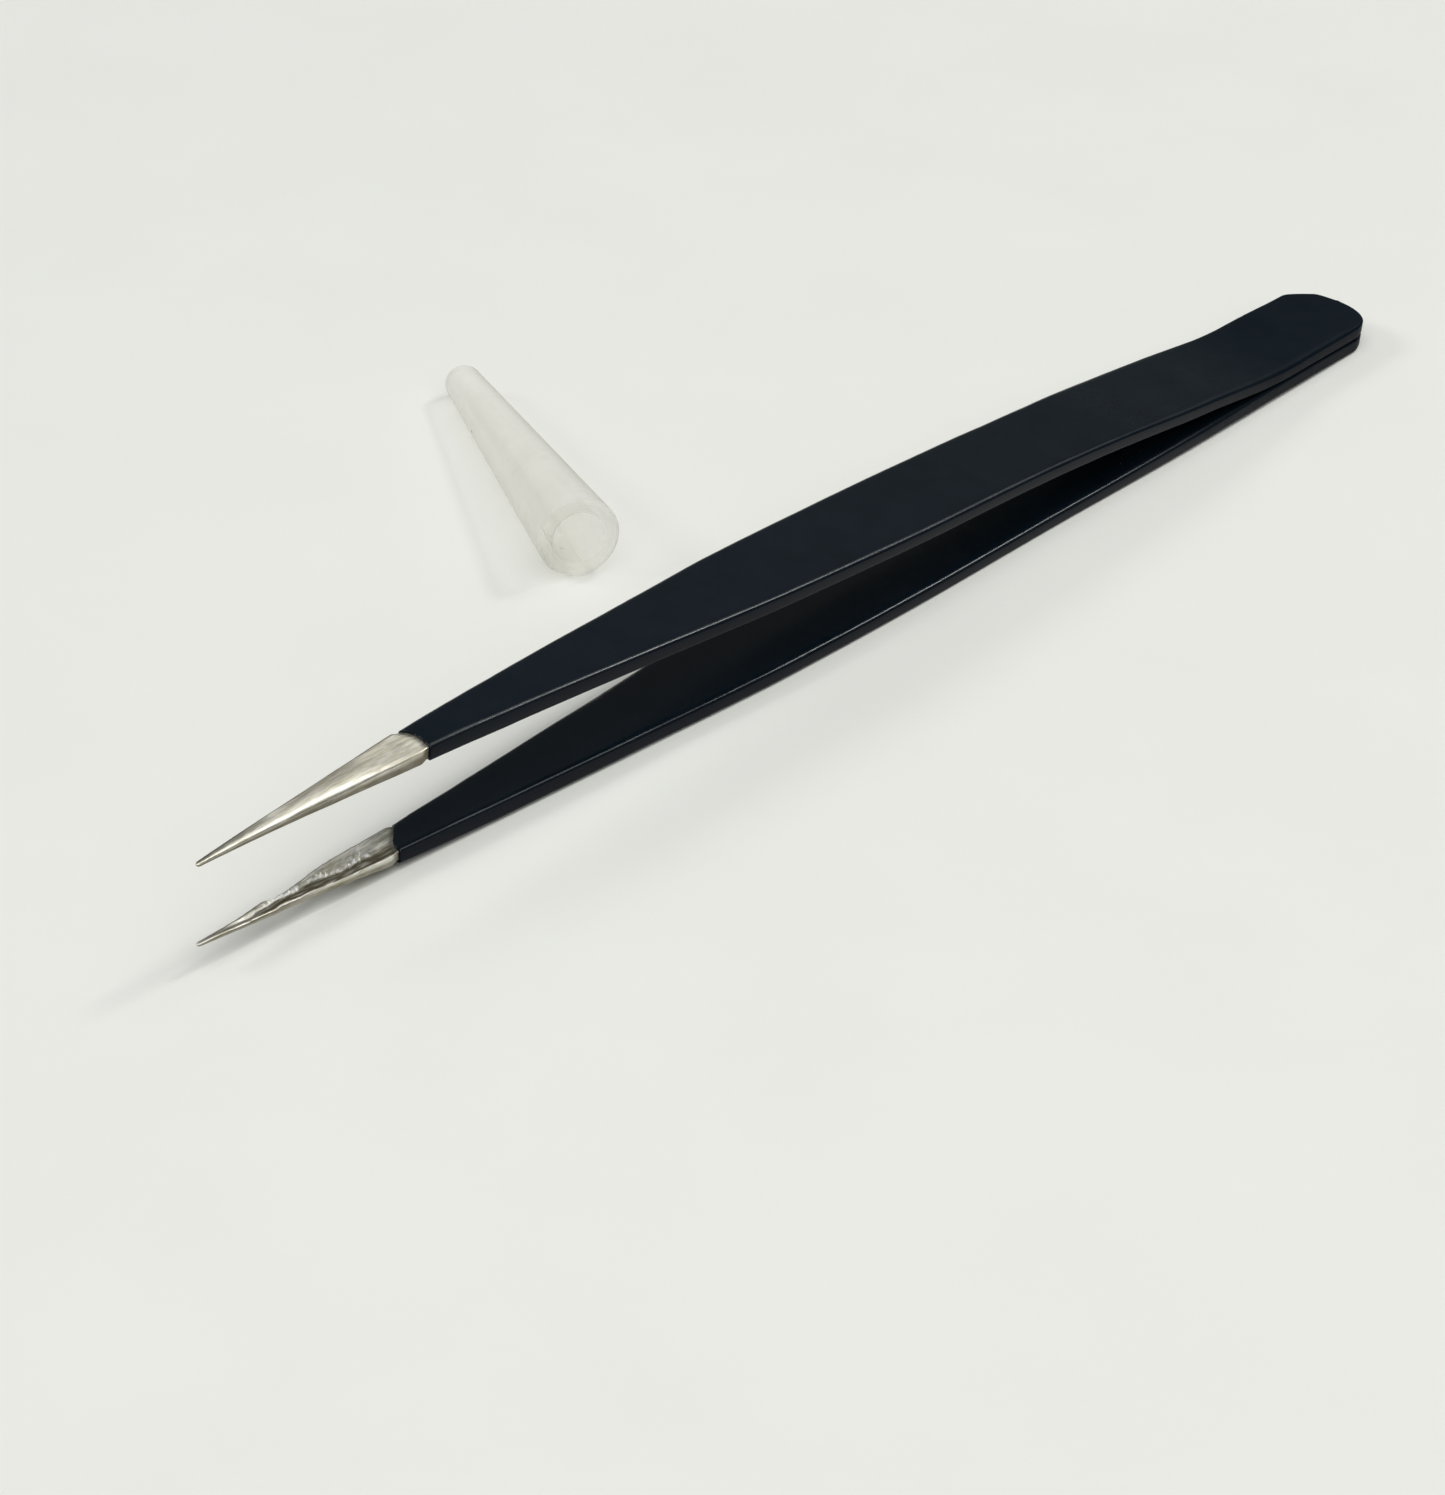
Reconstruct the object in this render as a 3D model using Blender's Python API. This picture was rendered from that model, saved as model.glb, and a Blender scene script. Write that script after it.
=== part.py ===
"""Straight fine-point tweezers with a loose tip cap, lying on a table.

Constants are millimetres and degrees, meshes are metres.  +X runs from the points to the heel,
+Z is up and z = 0 is the table.  A station is a distance along the tool from the heel end.
The origin is the middle of the flat that the lower leg rests on.
"""
import math

import bmesh
import bpy
from mathutils import Matrix, Vector

MM = 0.001

# overall layout
LENGTH = 138.7
REST_STATION = 52.0
REST_FLAT = (47.0, 57.0)
SPLIT_STATION = 16.0
SPLIT_GAP = 0.3

# visible shape of one leg: (station, value) knots of smooth curves
HALF_WIDTH = (
    (0.0, 4.10), (12.4, 4.36), (29.0, 4.52), (48.0, 4.32), (63.0, 4.37), (79.0, 4.08),
    (96.4, 3.02), (110.4, 2.05), (124.4, 1.09), (LENGTH, 0.17),
)
THICKNESS = (
    (0.0, 1.29), (40.4, 1.19), (89.4, 1.28), (113.2, 1.44), (124.4, 1.12), (131.4, 0.76),
    (LENGTH, 0.27),
)
UNDERSIDE = (
    (0.0, 0.0), (12.0, 0.24), (20.0, 0.23), (REST_FLAT[0], 0.0), (REST_FLAT[1], 0.0),
    (75.4, 0.07), (96.4, 0.15), (110.4, 0.21), (117.4, 0.40), (124.4, 0.82), (131.4, 1.35),
    (LENGTH, 1.97),
)
OPENING = (
    (0.0, 0.0), (12.4, 0.0), (26.4, 1.46), (40.4, 3.15), (54.4, 4.20), (68.4, 4.88),
    (96.4, 6.10), (110.4, 6.46), (124.4, 6.60), (LENGTH, 6.52),
)

# heel end
NOSE_RADIUS = 4.55
HEEL_SEAM = 0.10
WELD_STATIONS = (5.2, 10.8)
WELD_RADIUS = 1.9
WELD_DEPTH = 0.42
WELD_PLAY = 0.05
SEAM_GROOVE = 0.16

# black coat
COAT = 0.12
COAT_PLAY = 0.03
UPPER_COAT_END = 117.6
LOWER_COAT_END = 119.2
POINT_FLARE = 3.6

# edges
EDGE_RADIUS = 0.34
CORNER_POINTS = 4

# tip cap
CAP_LENGTH = 30.8
CAP_MOUTH_RADIUS = 3.43
CAP_END_RADIUS = 1.62
CAP_BORE_RADIUS = 2.25
CAP_BORE_END_RADIUS = 0.80
CAP_BORE_DEPTH = 28.0
CAP_RIM_ROUND = 0.35
CAP_SIDES = 36
CAP_MOUTH_XY = (-30.15, 17.2)
CAP_HEADING = 242.8

# how the parts look
STEEL = (0.62, 0.60, 0.56, 1.0)
BLACK = (0.012, 0.018, 0.026, 1.0)
MILKY = (0.86, 0.85, 0.82, 0.5)


def smooth(knots, at):
    """Monotone cubic through the knots, flat beyond the ends."""
    if at <= knots[0][0]:
        return knots[0][1]
    if at >= knots[-1][0]:
        return knots[-1][1]
    step = [b[0] - a[0] for a, b in zip(knots, knots[1:])]
    rise = [(b[1] - a[1]) / s for a, b, s in zip(knots, knots[1:], step)]
    slope = [rise[0]]
    for i in range(1, len(rise)):
        if rise[i - 1] * rise[i] <= 0.0:
            slope.append(0.0)
            continue
        before = 2.0 * step[i] + step[i - 1]
        after = step[i] + 2.0 * step[i - 1]
        slope.append((before + after) / (before / rise[i - 1] + after / rise[i]))
    slope.append(rise[-1])
    i = max(n for n in range(len(step)) if knots[n][0] <= at)
    u = (at - knots[i][0]) / step[i]
    value = knots[i][1] * (1.0 + 2.0 * u) * (1.0 - u) ** 2
    value += knots[i + 1][1] * u * u * (3.0 - 2.0 * u)
    value += step[i] * slope[i] * u * (1.0 - u) ** 2
    value -= step[i] * slope[i + 1] * u * u * (1.0 - u)
    return value


def ease(u):
    u = min(max(u, 0.0), 1.0)
    return u * u * (3.0 - 2.0 * u)


def world_x(station):
    return REST_STATION - station


def half_width(station, inset):
    """Half width at a station; the heel end is an arc."""
    wide = smooth(HALF_WIDTH, station) - inset
    if station < NOSE_RADIUS:
        reach = NOSE_RADIUS - inset
        wide = min(wide, math.sqrt(max(reach ** 2 - (NOSE_RADIUS - station) ** 2, 0.0)))
    return wide


def leg_faces(side, station):
    """Heights of the inner and the outer face of a leg."""
    lower_outer = smooth(UNDERSIDE, station)
    lower_inner = lower_outer + smooth(THICKNESS, station)
    if side == "lower":
        return lower_inner, lower_outer
    upper_inner = lower_inner + smooth(OPENING, station)
    return upper_inner, upper_inner + smooth(THICKNESS, station)


def rounded_section(x, half_y, low, high, radius):
    """Rounded rectangle in the plane x, as a closed ring of points."""
    radius = min(radius, 0.92 * half_y, 0.46 * (high - low))
    corners = (
        (half_y - radius, high - radius, 0.0),
        (-half_y + radius, high - radius, 90.0),
        (-half_y + radius, low + radius, 180.0),
        (half_y - radius, low + radius, 270.0),
    )
    ring = []
    for centre_y, centre_z, start in corners:
        for k in range(CORNER_POINTS):
            turn = math.radians(start + 90.0 * k / (CORNER_POINTS - 1))
            y = centre_y + radius * math.cos(turn)
            z = centre_z + radius * math.sin(turn)
            ring.append(Vector((x, y, z)) * MM)
    return ring


def leg_ring(side, station, inset):
    inner, outer = leg_faces(side, station)
    low = min(inner, outer) + inset
    high = max(inner, outer) - inset
    return rounded_section(world_x(station), half_width(station, inset), low, high, EDGE_RADIUS - inset)


def heel_plate_ring(side, station, inset):
    """Section of a welded end: no coat on the face that is welded."""
    inner, outer = leg_faces(side, station)
    if side == "lower":
        low = outer + inset
        high = inner - HEEL_SEAM / 2.0
    else:
        low = inner + HEEL_SEAM / 2.0
        high = outer - inset
    return rounded_section(world_x(station), half_width(station, inset), low, high, EDGE_RADIUS - inset)


def heel_pair_ring(station, inset, groove):
    """Section round both welded ends, with a groove along the seam on each side."""
    low = leg_faces("lower", station)[1] + inset
    high = leg_faces("upper", station)[1] - inset
    half_y = half_width(station, inset)
    ring = rounded_section(world_x(station), half_y, low, high, EDGE_RADIUS - inset)
    seam = (leg_faces("lower", station)[0] + leg_faces("upper", station)[0]) / 2.0
    depth = min(groove, 0.3 * half_y)
    for sign, at in ((-1.0, 2 * CORNER_POINTS), (1.0, 4 * CORNER_POINTS + 3)):
        points = ((half_y, -sign * groove), (half_y - depth, 0.0), (half_y, sign * groove))
        groove_points = [Vector((world_x(station), sign * y, seam + z)) * MM for y, z in points]
        if sign < 0.0:
            groove_points.reverse()
            groove_points.sort(key=lambda p: -p.z)
        else:
            groove_points.sort(key=lambda p: p.z)
        ring[at:at] = groove_points
    return ring


def steps(start, stop, pitch):
    count = max(1, round((stop - start) / pitch))
    return [start + (stop - start) * i / count for i in range(count + 1)]


def add_object(name, bm, colour, roughness, metallic, pivot=None):
    """Turn a bmesh in world coordinates into a named object with its origin at the pivot."""
    pivot = Vector(pivot or (0.0, 0.0, 0.0)) * MM
    bmesh.ops.recalc_face_normals(bm, faces=bm.faces)
    bmesh.ops.translate(bm, verts=bm.verts, vec=-pivot)
    mesh = bpy.data.meshes.new(name)
    bm.to_mesh(mesh)
    bm.free()
    mesh.shade_smooth()
    mesh.set_sharp_from_angle(angle=math.radians(32.0))
    material = bpy.data.materials.new(name)
    material.use_nodes = True
    shader = material.node_tree.nodes["Principled BSDF"]
    shader.inputs["Base Color"].default_value = colour
    shader.inputs["Roughness"].default_value = roughness
    shader.inputs["Metallic"].default_value = metallic
    shader.inputs["Alpha"].default_value = colour[3]
    mesh.materials.append(material)
    obj = bpy.data.objects.new(name, mesh)
    obj.location = pivot
    bpy.context.scene.collection.objects.link(obj)
    return obj


def loft(bm, rings, caps=True):
    """Skin a list of equal rings; returns the vertex rings."""
    made = [[bm.verts.new(p) for p in ring] for ring in rings]
    for a, b in zip(made, made[1:]):
        for i in range(len(a)):
            j = (i + 1) % len(a)
            bm.faces.new((a[i], a[j], b[j], b[i]))
    if caps:
        bm.faces.new(list(reversed(made[0])))
        bm.faces.new(made[-1])
    return made


def join_rings(bm, a, b):
    for i in range(len(a)):
        j = (i + 1) % len(a)
        bm.faces.new((a[i], a[j], b[j], b[i]))


def leg_stations(coat_end):
    stations = steps(SPLIT_STATION + SPLIT_GAP / 2.0, REST_FLAT[0], 4.4)
    stations += [REST_FLAT[1]]
    stations += steps(REST_FLAT[1], coat_end, 4.0)[1:]
    return stations


def core_inset(station, coat_end):
    """The steel sits under the coat; the bare point grows out to the visible shape."""
    bare = (station - coat_end) / POINT_FLARE
    return (COAT + COAT_PLAY) * (1.0 - ease(bare))


def hinge_point(side):
    inner, outer = leg_faces(side, SPLIT_STATION)
    return (world_x(SPLIT_STATION), 0.0, (inner + outer) / 2.0)


def make_leg(side, coat_end):
    bm = bmesh.new()
    stations = leg_stations(coat_end) + steps(coat_end, LENGTH, 1.8)[1:]
    loft(bm, [leg_ring(side, s, core_inset(s, coat_end)) for s in stations])
    add_object(side + "_leg", bm, STEEL, 0.32, 1.0, hinge_point(side))


def make_leg_coating(side, coat_end):
    bm = bmesh.new()
    stations = leg_stations(coat_end)
    outside = loft(bm, [leg_ring(side, s, 0.0) for s in stations], caps=False)
    inside = loft(bm, [leg_ring(side, s, COAT) for s in stations], caps=False)
    join_rings(bm, outside[0], inside[0])
    join_rings(bm, outside[-1], inside[-1])
    add_object(side + "_leg_coating", bm, BLACK, 0.45, 0.0, hinge_point(side))


def nose_stations(inset):
    first = inset + 0.06
    near_end = [first + (NOSE_RADIUS - first) * (i / 8.0) ** 1.8 for i in range(9)]
    return near_end + steps(NOSE_RADIUS, SPLIT_STATION - SPLIT_GAP / 2.0, 2.9)[1:]


def weld_seat(side, station):
    """Cutter for the shallow seat of a weld in a heel plate."""
    inner = leg_faces(side, station)[0]
    sign = 1.0 if side == "upper" else -1.0
    start = inner - sign * 0.5
    stop = inner + sign * (HEEL_SEAM / 2.0 + WELD_DEPTH)
    bm = bmesh.new()
    place = Matrix.Translation(Vector((world_x(station), 0.0, (start + stop) / 2.0)) * MM)
    bmesh.ops.create_cone(
        bm, cap_ends=True, segments=28, radius1=WELD_RADIUS * MM, radius2=WELD_RADIUS * MM,
        depth=abs(stop - start) * MM, matrix=place,
    )
    cutter = add_object("weld_seat_cutter", bm, STEEL, 0.5, 0.0)
    cutter.hide_render = True
    cutter.display_type = "WIRE"
    return cutter


def cut(obj, cutter):
    tool = obj.modifiers.new("seat", "BOOLEAN")
    tool.operation = "DIFFERENCE"
    tool.solver = "EXACT"
    tool.object = cutter
    bpy.context.view_layer.update()
    ready = obj.evaluated_get(bpy.context.evaluated_depsgraph_get())
    mesh = bpy.data.meshes.new_from_object(ready)
    obj.modifiers.clear()
    obj.data = mesh
    bpy.data.objects.remove(cutter)


def make_heel_plate(side):
    bm = bmesh.new()
    inset = COAT + COAT_PLAY
    loft(bm, [heel_plate_ring(side, s, inset) for s in nose_stations(inset)])
    plate = add_object(side + "_heel", bm, STEEL, 0.35, 1.0)
    for station in WELD_STATIONS:
        cut(plate, weld_seat(side, station))


def make_weld(name, station):
    bm = bmesh.new()
    middle = leg_faces("lower", station)[0]
    depth = HEEL_SEAM + 2.0 * (WELD_DEPTH - WELD_PLAY)
    radius = (WELD_RADIUS - WELD_PLAY) * MM
    place = Matrix.Translation(Vector((world_x(station), 0.0, middle)) * MM)
    bmesh.ops.create_cone(
        bm, cap_ends=True, segments=28, radius1=radius, radius2=radius, depth=depth * MM, matrix=place,
    )
    add_object(name, bm, STEEL, 0.6, 1.0)


def make_heel_coating():
    bm = bmesh.new()
    outer_stations = nose_stations(0.0)
    inner_stations = nose_stations(COAT)
    outside = loft(bm, [heel_pair_ring(s, 0.0, SEAM_GROOVE) for s in outer_stations], caps=False)
    inside = loft(bm, [heel_pair_ring(s, COAT, 0.02) for s in inner_stations], caps=False)
    bm.faces.new(outside[0])
    bm.faces.new(inside[0])
    join_rings(bm, outside[-1], inside[-1])
    add_object("heel_coating", bm, BLACK, 0.45, 0.0)


def cap_profile():
    """Half section of the cap: (along the axis from the closed end, radius), outside then bore."""
    lean = (CAP_MOUTH_RADIUS - CAP_END_RADIUS) / (CAP_LENGTH - CAP_END_RADIUS)
    outside = []
    for k in range(7):
        turn = math.radians(90.0 * k / 6.0)
        outside.append((CAP_END_RADIUS * (1.0 - math.cos(turn)), CAP_END_RADIUS * math.sin(turn)))
    for k in range(1, 7):
        along = CAP_END_RADIUS + (CAP_LENGTH - CAP_END_RADIUS - CAP_RIM_ROUND) * k / 6.0
        outside.append((along, CAP_END_RADIUS + (along - CAP_END_RADIUS) * lean))
    rim = outside[-1][1]
    for k in (1, 2):
        turn = math.radians(45.0 * k)
        along = CAP_LENGTH - CAP_RIM_ROUND + CAP_RIM_ROUND * math.sin(turn)
        outside.append((along, rim - CAP_RIM_ROUND * (1.0 - math.cos(turn))))
    bore = [(CAP_LENGTH, CAP_BORE_RADIUS + 0.2), (CAP_LENGTH - 0.2, CAP_BORE_RADIUS)]
    for k in range(1, 6):
        share = k / 5.0
        along = CAP_LENGTH - 0.2 - (CAP_BORE_DEPTH - 1.0) * share
        bore.append((along, CAP_BORE_RADIUS + (CAP_BORE_END_RADIUS - CAP_BORE_RADIUS) * share))
    bore.append((CAP_LENGTH - CAP_BORE_DEPTH + 0.3, 0.7 * CAP_BORE_END_RADIUS))
    return outside, bore, CAP_LENGTH - CAP_BORE_DEPTH


def make_cap():
    outside, bore, bore_end = cap_profile()
    bm = bmesh.new()
    rings = []
    for along, radius in outside[1:] + bore:
        ring = []
        for i in range(CAP_SIDES):
            turn = 2.0 * math.pi * (i + 0.5) / CAP_SIDES
            ring.append(Vector((along, radius * math.cos(turn), radius * math.sin(turn))) * MM)
        rings.append(ring)
    made = loft(bm, rings, caps=False)
    for ring, along in ((made[0], 0.0), (made[-1], bore_end)):
        pole = bm.verts.new(Vector((along, 0.0, 0.0)) * MM)
        for i in range(CAP_SIDES):
            bm.faces.new((ring[i], ring[(i + 1) % CAP_SIDES], pole))
    lean = math.atan((CAP_MOUTH_RADIUS - CAP_END_RADIUS) / (CAP_LENGTH - CAP_END_RADIUS))
    turn = Matrix.Rotation(math.radians(CAP_HEADING), 4, "Z") @ Matrix.Rotation(-lean, 4, "Y")
    bmesh.ops.translate(bm, verts=bm.verts, vec=(-CAP_LENGTH * MM, 0.0, 0.0))
    bmesh.ops.transform(bm, matrix=turn, verts=bm.verts)
    low = min(v.co.z for v in bm.verts)
    shift = Vector((CAP_MOUTH_XY[0] * MM, CAP_MOUTH_XY[1] * MM, -low))
    bmesh.ops.translate(bm, verts=bm.verts, vec=shift)
    add_object("tip_cap", bm, MILKY, 0.35, 0.0, (CAP_MOUTH_XY[0], CAP_MOUTH_XY[1], 0.0))


def main():
    for obj in list(bpy.data.objects):
        bpy.data.objects.remove(obj)
    for side, coat_end in (("upper", UPPER_COAT_END), ("lower", LOWER_COAT_END)):
        make_heel_plate(side)
        make_leg(side, coat_end)
        make_leg_coating(side, coat_end)
    make_weld("weld_nugget_rear", WELD_STATIONS[0])
    make_weld("weld_nugget_front", WELD_STATIONS[1])
    make_heel_coating()
    make_cap()


main()
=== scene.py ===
"""Straight fine-point tweezers with a loose tip cap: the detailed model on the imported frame.

Shape constants are millimetres and degrees; meshes are metres, in the frame's own axes.
+X runs from the points to the heel, +Z is up and z = 0 is the table.  A station is a distance
along the tool from the heel end.
"""

import math

import bmesh
import bpy
from mathutils import Matrix, Vector, noise


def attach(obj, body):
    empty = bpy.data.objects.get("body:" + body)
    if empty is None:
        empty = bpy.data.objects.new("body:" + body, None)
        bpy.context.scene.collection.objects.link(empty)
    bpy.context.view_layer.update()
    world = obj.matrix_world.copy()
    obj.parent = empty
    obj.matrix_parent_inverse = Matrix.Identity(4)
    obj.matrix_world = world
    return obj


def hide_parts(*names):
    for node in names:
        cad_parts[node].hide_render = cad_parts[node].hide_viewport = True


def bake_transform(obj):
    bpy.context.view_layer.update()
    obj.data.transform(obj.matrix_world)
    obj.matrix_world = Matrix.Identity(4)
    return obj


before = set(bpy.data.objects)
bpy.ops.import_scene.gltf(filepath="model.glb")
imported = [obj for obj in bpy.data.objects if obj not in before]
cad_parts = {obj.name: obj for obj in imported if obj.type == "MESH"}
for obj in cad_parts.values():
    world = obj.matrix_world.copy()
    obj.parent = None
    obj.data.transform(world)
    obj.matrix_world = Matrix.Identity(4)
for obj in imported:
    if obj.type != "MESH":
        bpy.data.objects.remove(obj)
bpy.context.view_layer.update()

MM = 0.001

# The same shape knots as the CAD part: (station, value).
LENGTH = 138.7
REST_STATION = 52.0
SPLIT_STATION = 16.0
HALF_WIDTH = (
    (0.0, 4.10), (12.4, 4.36), (29.0, 4.52), (48.0, 4.32), (63.0, 4.37), (79.0, 4.08),
    (96.4, 3.02), (110.4, 2.05), (124.4, 1.09), (LENGTH, 0.17),
)
THICKNESS = (
    (0.0, 1.29), (40.4, 1.19), (89.4, 1.28), (113.2, 1.44), (124.4, 1.12), (131.4, 0.76),
    (LENGTH, 0.27),
)
UNDERSIDE = (
    (0.0, 0.0), (12.0, 0.24), (20.0, 0.23), (47.0, 0.0), (57.0, 0.0),
    (75.4, 0.07), (96.4, 0.15), (110.4, 0.21), (117.4, 0.40), (124.4, 0.82), (131.4, 1.35),
    (LENGTH, 1.97),
)
OPENING = (
    (0.0, 0.0), (12.4, 0.0), (26.4, 1.46), (40.4, 3.15), (54.4, 4.20), (68.4, 4.88),
    (96.4, 6.10), (110.4, 6.46), (124.4, 6.60), (LENGTH, 6.52),
)

# seam between the two coated ends at the heel, and half the gap between plate and leg steel
HEEL_SEAM = 0.10
SPLIT_GAP = 0.15

# rings: steps round a corner, and across the faces of a coated and of a bare strip
CORNER = 6
ACROSS = 22
POINT_ACROSS = 32

# heel outline in plan, from the far corner round the end to the near corner: (station, across)
NOSE_FAR = ((0.08, -0.40), (0.14, 0.40), (0.46, 2.16), (1.30, 2.90), (2.70, 4.02))
NOSE_NEAR = ((0.08, -0.40), (0.15, -1.40), (0.55, -2.62), (1.32, -3.58), (2.70, -4.14))
NOSE_ROWS = 26
NOSE_END = 3.25

# coat: wall, play over the steel, corner sizes along the leg and at the heel, rounded end;
# its rows start to follow the ragged end line COAT_PULL before it: (across, station)
COAT = 0.12
COAT_PLAY = 0.03
CORE_INSET = COAT + COAT_PLAY
EDGE_RADIUS = 0.20
EDGE_WIDE = 0.56
EDGE_DEEP = 0.28
HEEL_EDGE_WIDE = 0.66
HEEL_EDGE_DEEP = 0.34
LIP_RADIUS = 0.05
COAT_PULL = 3.2
UPPER_COAT_END = ((-1.55, 117.85), (-0.85, 117.80), (-0.2, 117.60), (0.7, 117.70), (1.3, 118.10))
LOWER_COAT_END = ((-1.6, 120.45), (-0.9, 120.40), (-0.2, 120.10), (0.5, 119.30), (1.2, 118.50))

# steel under the coat and bare points: corner, row pitch, rounded tip, the wheel's marks
CORE_CORNER = 0.14
POINT_PITCH = 0.11
TIP_ROUND = 0.25
BITE_PITCH = 0.85
BITE_SKEW = 1.7
FAR_SLOPE = 0.40
NEAR_SLOPE = 0.13
BURR_PITCH = 0.46
BURR_HEIGHT = 0.10
SHAVE_LEAN = 0.055

# ground inner face of the lower point in plan, its far edge and the fold where the cut from
# that edge is deepest: (station, across)
FAR_EDGE = (
    (118.0, 1.56), (120.2, 1.38), (124.7, 1.21), (126.8, 1.02), (128.2, 0.78), (129.5, 0.60),
    (131.3, 0.46), (131.9, 0.72), (133.2, 0.58), (135.1, 0.36), (LENGTH, 0.17),
)
FOLD = (
    (118.0, -0.30), (120.4, -0.23), (122.4, -0.10), (125.2, -0.03), (127.0, 0.22),
    (129.3, 0.12), (131.6, 0.15), (134.7, 0.04), (LENGTH, 0.0),
)

# camera: where it looks, from which side, and how far away
CAMERA_TARGET = (-39.836, -6.841, 0.0)
CAMERA_AZIMUTH = -51.029
CAMERA_ELEVATION = 34.293
CAMERA_ROLL = 4.55
CAMERA_DISTANCE = 303.93
CAMERA_LENS = 97.152

# cap: lengths run from the closed end to the mouth, painted shade darkens its side that faces
# CAP_SHADED_SIDE
CAP_LENGTH = 30.8
CAP_MOUTH_RADIUS = 3.43
CAP_END_RADIUS = 1.62
CAP_RIM_RADIUS = 0.38
CAP_BORE_RADIUS = 2.25
CAP_BORE_RIM_RADIUS = 0.28
CAP_BORE_RIM_STEPS = 6
CAP_BORE_END_RADIUS = 0.80
CAP_BORE_DEPTH = 28.0
CAP_LEAN = (CAP_MOUTH_RADIUS - CAP_END_RADIUS) / (CAP_LENGTH - CAP_END_RADIUS)
CAP_MOUTH_XY = (-30.15, 17.2)
CAP_HEADING = 242.8
CAP_SIDES = 120
CAP_SHADED_SIDE = (0.84, -0.50, 0.20)


def smooth(knots, at):
    """Monotone cubic through the knots, flat beyond the ends."""
    if at <= knots[0][0]:
        return knots[0][1]
    if at >= knots[-1][0]:
        return knots[-1][1]
    step = [b[0] - a[0] for a, b in zip(knots, knots[1:])]
    rise = [(b[1] - a[1]) / s for a, b, s in zip(knots, knots[1:], step)]
    slope = [rise[0]]
    for i in range(1, len(rise)):
        if rise[i - 1] * rise[i] <= 0.0:
            slope.append(0.0)
            continue
        before = 2.0 * step[i] + step[i - 1]
        after = step[i] + 2.0 * step[i - 1]
        slope.append((before + after) / (before / rise[i - 1] + after / rise[i]))
    slope.append(rise[-1])
    i = max(n for n in range(len(step)) if knots[n][0] <= at)
    u = (at - knots[i][0]) / step[i]
    value = knots[i][1] * (1.0 + 2.0 * u) * (1.0 - u) ** 2
    value += knots[i + 1][1] * u * u * (3.0 - 2.0 * u)
    value += step[i] * slope[i] * u * (1.0 - u) ** 2
    value -= step[i] * slope[i + 1] * u * u * (1.0 - u)
    return value


def ease(u):
    """Smooth step from 0 to 1."""
    u = min(max(u, 0.0), 1.0)
    return u * u * (3.0 - 2.0 * u)


def mix(a, b, u):
    return a + (b - a) * u


def rise(value, start, span):
    """Eased share: 0 up to start, 1 from a span later."""
    return ease((value - start) / span)


def wave(x, y=0.0, z=0.0):
    """Repeatable smooth noise, about -1 to 1."""
    return noise.noise(Vector((x, y, z)))


def steps(start, stop, pitch):
    """Even places from start to stop, about a pitch apart."""
    count = max(1, round((stop - start) / pitch))
    return [start + (stop - start) * i / count for i in range(count + 1)]


class Knots:
    """smooth() with the answers kept, on a fine grid."""

    PITCH = 0.05

    def __init__(self, knots):
        self.start = knots[0][0]
        count = int((knots[-1][0] - self.start) / self.PITCH) + 2
        self.values = [smooth(knots, self.start + i * self.PITCH) for i in range(count)]

    def __call__(self, at):
        place = max(at - self.start, 0.0) / self.PITCH
        i = min(int(place), len(self.values) - 2)
        u = min(place - i, 1.0)
        return mix(self.values[i], self.values[i + 1], u)


half_width = Knots(HALF_WIDTH)
thickness = Knots(THICKNESS)
underside = Knots(UNDERSIDE)
opening = Knots(OPENING)
far_edge = Knots(FAR_EDGE)
fold = Knots(FOLD)


def leg_faces(side, station):
    """Heights of the low and the high face of a leg."""
    low = underside(station)
    high = low + thickness(station)
    if side == "lower":
        return low, high
    low = high + opening(station)
    return low, low + thickness(station)


def coat_faces(side, station):
    """The same, with the narrow seam left between the two welded ends."""
    low, high = leg_faces(side, station)
    seam = HEEL_SEAM / 2.0 * (1.0 - rise(station, 12.0, 5.0))
    if side == "lower":
        return low, high - seam
    return low + seam, high


def rounded(polyline, passes=3):
    """Chaikin corner cutting; the end points stay."""
    points = [Vector(p) for p in polyline]
    for _ in range(passes):
        cut = [points[0]]
        for a, b in zip(points, points[1:]):
            cut += [a.lerp(b, 0.2), a.lerp(b, 0.8)]
        points = cut + [points[-1]]
    return points


def resample(points, count):
    """Points evenly spaced along a polyline."""
    run = [0.0]
    for a, b in zip(points, points[1:]):
        run.append(run[-1] + (b - a).length)
    out = []
    i = 0
    for n in range(count + 1):
        at = run[-1] * n / count
        while i < len(run) - 2 and run[i + 1] < at:
            i += 1
        span = run[i + 1] - run[i]
        u = (at - run[i]) / span if span > 0.0 else 0.0
        out.append(points[i].lerp(points[i + 1], u))
    return out


def outline_rows(stations):
    """Rows from the heel end on: ((point, outward normal) far, (point, normal) near) in plan."""
    sides = []
    for nose, sign in ((NOSE_FAR, 1.0), (NOSE_NEAR, -1.0)):
        straight = [Vector((s, sign * half_width(s))) for s in stations]
        corner = [Vector(p) for p in nose]
        line = rounded(corner + straight[:1])[:-1]
        points = resample(line, NOSE_ROWS) + straight
        pairs = []
        for i, point in enumerate(points):
            after = points[min(i + 1, len(points) - 1)]
            before = points[max(i - 1, 0)]
            if i == 0:
                normal = Vector((-1.0, 0.0))
            else:
                along = after - before
                normal = Vector((-along.y, along.x)) * sign
                normal.normalize()
            pairs.append((point, normal))
        sides.append(pairs)
    return list(zip(*sides))


def corner_point(k, count):
    """Inset and drop shares at step k: 0 is on the flat face, count on the wall."""
    turn = math.radians(90.0 * k / count)
    return 1.0 - math.sin(turn), 1.0 - math.cos(turn)


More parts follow.
